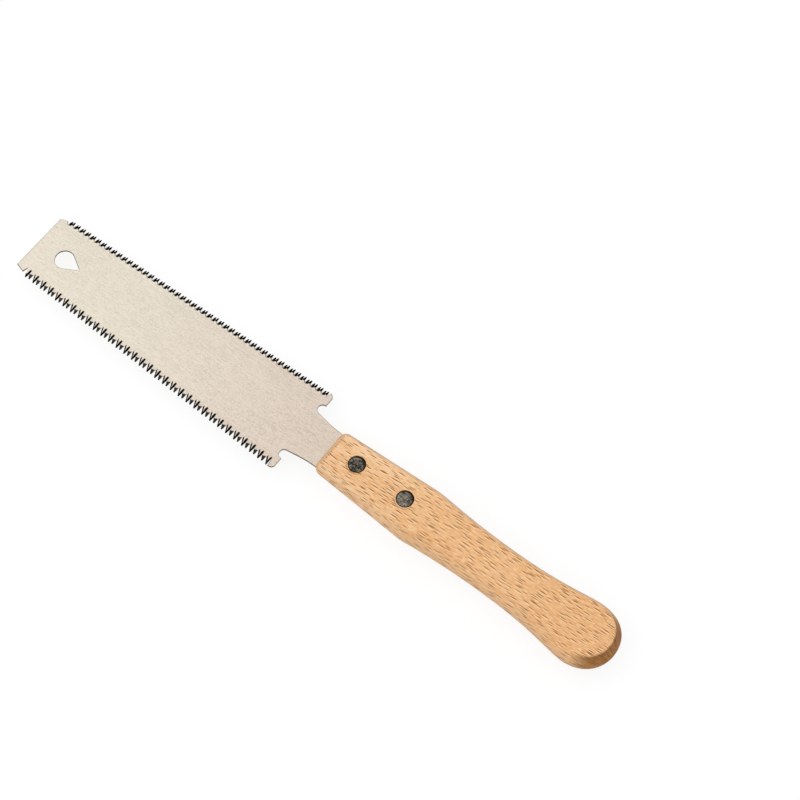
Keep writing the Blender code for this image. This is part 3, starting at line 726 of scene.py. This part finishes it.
def rivet_material(look):
    """Blackened steel, rubbed grey in blotches and broken rings, black at the rim, with painted
    shade and painted highlight.
    """
    material, place, facing = new_material("saw_rivet")
    head = MILLIMETRES * look.radius
    rear, along, across, radius = about_rivets(place)
    mottle = place.noise((0.85, 0.85, 0.85), detail=3.0, roughness=0.62)
    grit = place.noise((2.4, 2.4, 2.4), detail=2.0, roughness=0.6)
    # Painted shade: one side of each head, and the near side of the front one, is painted darker in
    # place of light on the domed head
    dark_side = ((along * DARK_SIDE[0] + across * DARK_SIDE[1]) / head).most(0.0)
    near_side = (-across).most(0.0) / head * (1.0 - rear)
    shade = DARK_SIDE_SHADE * dark_side + NEAR_SHADE * near_side
    waves = 0.5 + 0.5 * place.maths("SINE", radius * RING_PHASE + mottle * RING_BEND)
    rings = waves.rise(*RING_LEVEL) * mottle.rise(*RING_PATCHES)
    rings = rings * (RING_BRIGHT - along * RING_FALL) * (1.0 - RING_REAR_LOSS * rear)
    rub_and_light = look.rubbed + look.rubbed_rear * rear - shade + rings
    rub_and_light = rub_and_light + (mottle - BLOTCH_MEAN) * BLOTCHES + grit.swing(GRIT)
    rim = (radius + dark_side * RIM_WIDER).rise(*RIM_FADE)
    crown = abs(facing.axis("Z")).rise(*CROWN_LEVEL)
    worn = (rub_and_light * (1.0 - rim) * crown).limited(0.0, 1.0)
    return close_material(material, {
        "Base Color": worn.tint(look.blackened, look.worn),
        "Metallic": 1.0,
        "Roughness": look.roughness - ROUGH_LOSS * worn + grit.swing(ROUGH_GRIT),
        "Normal": (mottle * BLOTCH_RISE + grit * GRIT_RISE).relief(*RIVET_RELIEF),
    })


def new_piece(name, bm):
    """Object of a bmesh with its faces pointing out."""
    bmesh.ops.recalc_face_normals(bm, faces=bm.faces)
    mesh = bpy.data.meshes.new(name)
    bm.to_mesh(mesh)
    bm.free()
    piece = bpy.data.objects.new(name, mesh)
    bpy.context.scene.collection.objects.link(piece)
    return piece


def raised(points, low, high):
    """A plan outline raised from one height to another, as a bmesh."""
    bm = bmesh.new()
    face = bm.faces.new([bm.verts.new((x, y, low)) for x, y in points])
    lifted = bmesh.ops.extrude_face_region(bm, geom=[face])["geom"]
    corners = [part for part in lifted if isinstance(part, bmesh.types.BMVert)]
    bmesh.ops.translate(bm, verts=corners, vec=(0.0, 0.0, high - low))
    return bm


def turned(profile, centre, steps):
    """Solid of revolution about an upright axis through centre, from (radius, height) points."""
    bm = bmesh.new()
    corners = [bm.verts.new((centre.x + radius, centre.y, height)) for radius, height in profile]
    edges = [bm.edges.new(pair) for pair in zip(corners, corners[1:])]
    bmesh.ops.spin(bm, geom=corners + edges, cent=centre, axis=(0.0, 0.0, 1.0), angle=2.0 * pi,
                   steps=steps, use_merge=True)
    bmesh.ops.remove_doubles(bm, verts=bm.verts, dist=SAME_POINT)
    return bm


def cut_away(piece, cutters):
    """Take the cutters' shapes out of a piece and remove them."""
    for cutter in cutters:
        boolean = piece.modifiers.new(cutter.name, "BOOLEAN")
        boolean.operation = "DIFFERENCE"
        boolean.solver = "EXACT"
        boolean.object = cutter
    bpy.context.view_layer.update()
    cut = piece.evaluated_get(bpy.context.evaluated_depsgraph_get())
    finished = bpy.data.meshes.new_from_object(cut)
    if not finished.polygons:
        raise RuntimeError("The cuts left nothing of " + piece.name)
    piece.modifiers.clear()
    piece.data = finished
    for cutter in cutters:
        bpy.data.objects.remove(cutter, do_unlink=True)


def soften(piece, angle):
    """Smooth shading that keeps flat faces flat and edges past an angle sharp."""
    piece.data.shade_smooth()
    piece.data.set_sharp_from_angle(angle=angle)
    weighted = piece.modifiers.new("flat_faces_first", "WEIGHTED_NORMAL")
    weighted.keep_sharp = True


def dress(piece, material, slot, *nodes):
    """Give a piece its material and body, and hide the nodes it stands for. The slot is not used.
    """
    piece.data.materials.clear()
    piece.data.materials.append(material)
    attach(piece, "root")
    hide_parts(*nodes)


def eased(value, low, high):
    """Smooth step of a number from 0 at low to 1 at high."""
    part = min(max((value - low) / (high - low), 0.0), 1.0)
    return part * part * (3.0 - 2.0 * part)


def grip_outline(shape):
    """Plan of the handle: straight front, knee, waist, bulb and round butt, once round."""
    corner = shape.front_corner
    front = Vector((GRIP_LOW.x + corner, 0.5 * shape.front_width, 0.0))
    knee = Vector((GRIP_LOW.x + shape.front_to_knee, 0.5 * shape.knee_width, 0.0))
    waist = Vector((knee.x + shape.knee_to_waist, 0.5 * shape.waist_width, 0.0))
    bulb = Vector((waist.x + shape.waist_to_bulb, 0.5 * shape.bulb_width, 0.0))
    butt = Vector((GRIP_HIGH.x, 0.0, 0.0))
    along = Vector((1.0, 0.0, 0.0))
    taper = (knee - front).normalized()
    turns = [0.5 * pi * step / shape.corner_steps for step in range(shape.corner_steps + 1)]
    side = [front + Vector((-corner * cos(turn), corner * (sin(turn) - 1.0), 0.0))
            for turn in turns]
    side += interpolate_bezier(knee, knee + taper * KNEE_OUT * shape.knee_to_waist,
                               waist - along * WAIST_IN * shape.knee_to_waist, waist,
                               shape.curve_steps)
    side += interpolate_bezier(waist, waist + along * WAIST_OUT * shape.waist_to_bulb,
                               bulb - along * BULB_IN * shape.waist_to_bulb, bulb,
                               shape.curve_steps)[1:]
    side += interpolate_bezier(bulb, bulb + along * BULB_OUT * (butt.x - bulb.x),
                               Vector((butt.x, BUTT_IN * bulb.y, 0.0)), butt,
                               shape.curve_steps)[1:]
    plan = [(point.x, point.y) for point in side]
    plan += [(point.x, -point.y) for point in reversed(side[:-1])]
    return [(x, y + shape.grip_drift * eased(x, knee.x + LEAN_FROM, knee.x + LEAN_TO)
             + shape.butt_drift * eased(x, bulb.x, butt.x)) for x, y in plan]


def level_edges(bm, height):
    """Edges that run round the grip at one height above and below the plate."""
    level = [edge for edge in bm.edges
             if abs(edge.verts[0].co.z - edge.verts[1].co.z) < SAME_HEIGHT]
    return [edge for edge in level
            if abs(abs(edge.verts[0].co.z - PLATE_Z) - height) < SAME_HEIGHT]


def break_edges(bm, edges, reach, steps):
    """Take off edges by the same reach on both of their faces."""
    bm.normal_update()
    bmesh.ops.bevel(bm, geom=edges, offset=reach, offset_type="OFFSET", affect="EDGES",
                    segments=steps, profile=0.5, material=-1)


def grip_bmesh(shape):
    """Handle with two leaning facets and a rounded ridge all round."""
    ridge = 0.5 * shape.ridge_band
    flattened = shape.facet_reach * GRIP_HALF / (GRIP_HALF - ridge)
    bm = raised(grip_outline(shape), PLATE_Z - flattened, PLATE_Z + flattened)
    break_edges(bm, level_edges(bm, flattened), shape.facet_reach, 1)
    bmesh.ops.scale(bm, vec=(1.0, 1.0, GRIP_HALF / flattened), verts=bm.verts,
                    space=Matrix.Translation((0.0, 0.0, -PLATE_Z)))
    break_edges(bm, level_edges(bm, ridge), RIDGE_ROUND * shape.ridge_band, shape.round_steps)
    break_edges(bm, level_edges(bm, GRIP_HALF), shape.border_break, BORDER_STEPS)
    return bm


def bore_bmesh(shape, radius, centre):
    """Through bore of a rivet with a counterbore and a softened rim at both faces."""
    head = radius + shape.bore_gap
    seat = GRIP_HALF - shape.head_seat
    past = GRIP_HALF + PAST_FACE
    half = [(0.0, past), (head + shape.bore_flare + PAST_FACE, past),
            (head, GRIP_HALF - shape.bore_flare), (head, seat), (shape.shank_bore, seat)]
    profile = half + [(reach, -height) for reach, height in reversed(half)]
    return turned([(reach, PLATE_Z + height) for reach, height in profile], centre, BORE_STEPS)


def ring_bmesh(shape, radius, centre, side):
    """Shallow ring round a bore on one face, a little off its middle."""
    face = PLATE_Z + side * GRIP_HALF
    past = face + side * PAST_FACE
    bottom = face - side * shape.ring_depth
    reach = radius + shape.ring_reach
    profile = [(0.0, past), (reach, past), (reach, face - side * 0.5 * shape.ring_depth),
               (radius, bottom), (0.0, bottom)]
    return turned(profile, centre - Vector((0.0, shape.ring_shift, 0.0)), BORE_STEPS)


def slot_bmesh(shape):
    """Slot in the handle's front that takes the end of the neck and the tang."""
    depths = (-PAST_FACE, shape.mouth_depth, shape.slot_depth)
    start, shoulder, end = (GRIP_LOW.x + depth for depth in depths)
    mouth, half = 0.5 * shape.mouth_width, 0.5 * shape.slot_width
    side = [(start, mouth), (shoulder, mouth), (shoulder, half), (end, half)]
    points = side + [(x, -y) for x, y in reversed(side)]
    return raised(points, PLATE_Z - 0.5 * shape.slot_height, PLATE_Z + 0.5 * shape.slot_height)


def head_profile(look):
    """Outer side of a rivet head, axis to below its rim, as (radius, height above the plate)."""
    top = GRIP_HALF - look.recess
    face = look.radius - look.rim
    crown = [(face * step / CROWN_STEPS, top - look.crown * (step / CROWN_STEPS) ** 2)
             for step in range(CROWN_STEPS + 1)]
    corners = [Vector((face + out * look.rim, top - look.crown - down * look.rim, 0.0))
               for out, down in RIM_CURVE]
    rim = [(point.x, point.y) for point in interpolate_bezier(*corners, RIM_STEPS)]
    return crown + rim[1:] + [(look.radius, top - look.head)]


def post_profile(look):
    """Upper half of a rivet: head and plain shank."""
    outer = head_profile(look)
    under = outer[-1][1]
    end = SHANK_ROOM - under
    shank = [(look.shank, under), (look.shank, end + look.rim), (look.shank - look.rim, end),
             (0.0, end)]
    return outer + shank


def socket_profile(look):
    """Lower half of a rivet: head and the tube that takes the shank."""
    outer = head_profile(look)
    under = outer[-1][1]
    mouth = under - SHANK_ROOM
    tube = [(0.0, -under), (look.tube_bore, -under), (look.tube_bore, mouth), (look.tube, mouth),
            (look.tube, -under)]
    return tube + [(reach, -height) for reach, height in reversed(outer)]


class PULLSAW_OT_blade(Operator):
    """Give the blade its steel"""

    bl_idname = "pullsaw.blade"
    bl_label = "Finish Blade"

    def execute(self, context):
        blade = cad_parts["blade"]
        blade.data.materials.clear()
        blade.data.materials.append(blade_material(context.scene.pullsaw_blade))
        return {"FINISHED"}


class PULLSAW_OT_grip(Operator):
    """Shape the beech handle with its slot and bores"""

    bl_idname = "pullsaw.grip"
    bl_label = "Build Handle"

    def execute(self, context):
        shape = context.scene.pullsaw_grip
        radius = context.scene.pullsaw_rivets.radius
        grip = new_piece("beech_handle", grip_bmesh(shape))
        cutters = [new_piece("tang_slot", slot_bmesh(shape))]
        for centre in RIVET_PLACES:
            cutters.append(new_piece("rivet_bore", bore_bmesh(shape, radius, centre)))
            for side in (-1.0, 1.0):
                cutters.append(new_piece("bore_ring", ring_bmesh(shape, radius, centre, side)))
        cut_away(grip, cutters)
        soften(grip, GRIP_SHARP)
        dress(grip, beech_material(context.scene.pullsaw_beech), "beech", "handle")
        return {"FINISHED"}


class PULLSAW_OT_rivets(Operator):
    """Turn the two rivets, each a post and a socket"""

    bl_idname = "pullsaw.rivets"
    bl_label = "Build Rivets"

    def execute(self, context):
        look = context.scene.pullsaw_rivets
        steel = rivet_material(look)
        halves = {"post": post_profile(look), "socket": socket_profile(look)}
        for place, centre in zip(("front", "rear"), RIVET_PLACES):
            for half, profile in halves.items():
                node = f"{place}_rivet_{half}"
                lifted = [(reach, PLATE_Z + height) for reach, height in profile]
                piece = new_piece(f"{node}_turned", turned(lifted, centre, look.turn_steps))
                soften(piece, RIVET_SHARP)
                dress(piece, steel, "rivet_steel", node)
        return {"FINISHED"}


class PULLSAW_OT_stage(Operator):
    """Set the floor, the light and the camera"""

    bl_idname = "pullsaw.stage"
    bl_label = "Set Stage"

    def execute(self, context):
        look = context.scene.pullsaw_stage
        context.scene.view_settings.view_transform = "Standard"
        self.set_floor(look)
        self.set_sky(context.scene, look)
        self.set_lamp(context.scene, look)
        self.set_camera(context.scene, look)
        return {"FINISHED"}

    @staticmethod
    def grey(value):
        """A colour without hue."""
        return (value, value, value, 1.0)

    @staticmethod
    def seen(start):
        """1 for rays that show the background: from the camera, or off metal and glass."""
        rays = [start.node("LightPath", output=name)
                for name in ("Is Camera Ray", "Is Glossy Ray", "Is Transmission Ray")]
        return rays[0].most(rays[1]).most(rays[2])

    def set_floor(self, look):
        """Pale floor under the saw that keeps a soft shadow."""
        bm = bmesh.new()
        bmesh.ops.create_grid(bm, x_segments=1, y_segments=1, size=look.floor_reach)
        floor = new_piece("studio_floor", bm)
        material = bpy.data.materials.new("studio_floor")
        start = emptied(material)
        lit = start.node("BsdfDiffuse", None, {"Color": self.grey(look.floor_shade)})
        glow = start.node("Emission", None, {"Color": self.grey(1.0), "Strength": look.floor_glow})
        pale = start.node("AddShader", None, {0: lit, 1: glow})
        bounce = start.node("BsdfDiffuse", None, {"Color": self.grey(look.floor_bounce)})
        mixed = start.node("MixShader", None, {0: self.seen(start), 1: bounce, 2: pale})
        start.node("OutputMaterial", None, {"Surface": mixed})
        floor.data.materials.append(material)

    def set_sky(self, scene, look):
        """Even light from all round, white where it is seen."""
        world = bpy.data.worlds.new("studio")
        start = emptied(world)
        strength = self.seen(start) * (1.0 - look.sky) + look.sky
        sky = start.node("Background", None, {"Color": self.grey(1.0), "Strength": strength})
        start.node("OutputWorld", None, {"Surface": sky})
        scene.world = world

    @staticmethod
    def set_lamp(scene, look):
        """One large soft lamp, high on the camera's left, turned to the middle of the saw."""
        data = bpy.data.lights.new("key_softbox", "AREA")
        data.shape = "SQUARE"
        data.size = look.key_size
        data.energy = look.key
        lamp = bpy.data.objects.new("key_softbox", data)
        lamp.location = look.key_place
        lamp.rotation_euler = lamp.location.to_track_quat("Z", "Y").to_euler()
        scene.collection.objects.link(lamp)

    @staticmethod
    def set_camera(scene, look):
        """Camera at the photograph's place."""
        data = bpy.data.cameras.new("photo_camera")
        data.lens = look.lens
        data.clip_start = look.near_clip
        data.clip_end = look.far_clip
        camera = bpy.data.objects.new("photo_camera", data)
        towards = Vector(look.towards).normalized()
        camera.location = Vector(look.aim) + towards * look.reach
        camera.rotation_euler = towards.to_track_quat("Z", "Y").to_euler()
        scene.collection.objects.link(camera)
        scene.camera = camera


LOOKS = {
    "pullsaw_blade": BladeLook,
    "pullsaw_grip": GripShape,
    "pullsaw_beech": BeechLook,
    "pullsaw_rivets": RivetLook,
    "pullsaw_stage": StageLook,
}
STEPS = (PULLSAW_OT_blade, PULLSAW_OT_grip, PULLSAW_OT_rivets, PULLSAW_OT_stage)


class PULLSAW_PT_sidebar(Panel):
    """The saw's sizes and finishes, and the steps that build them"""

    bl_idname = "PULLSAW_PT_sidebar"
    bl_label = "Double-edged Pull Saw"
    bl_space_type = "VIEW_3D"
    bl_region_type = "UI"
    bl_category = "Pull Saw"

    def draw(self, context):
        for holder, kind in LOOKS.items():
            box = self.layout.box()
            for name in kind.__annotations__:
                box.prop(getattr(context.scene, holder), name)
        for step in STEPS:
            self.layout.operator(step.bl_idname)


CLASSES = (*LOOKS.values(), *STEPS, PULLSAW_PT_sidebar)


def register():
    for kind in CLASSES:
        bpy.utils.register_class(kind)
    for holder, kind in LOOKS.items():
        setattr(bpy.types.Scene, holder, PointerProperty(type=kind))


def unregister():
    for holder in LOOKS:
        delattr(bpy.types.Scene, holder)
    for kind in reversed(CLASSES):
        bpy.utils.unregister_class(kind)


def main():
    """Build every piece in order."""
    register()
    bpy.ops.pullsaw.blade()
    bpy.ops.pullsaw.grip()
    bpy.ops.pullsaw.rivets()
    bpy.ops.pullsaw.stage()


if __name__ == "__main__":
    main()
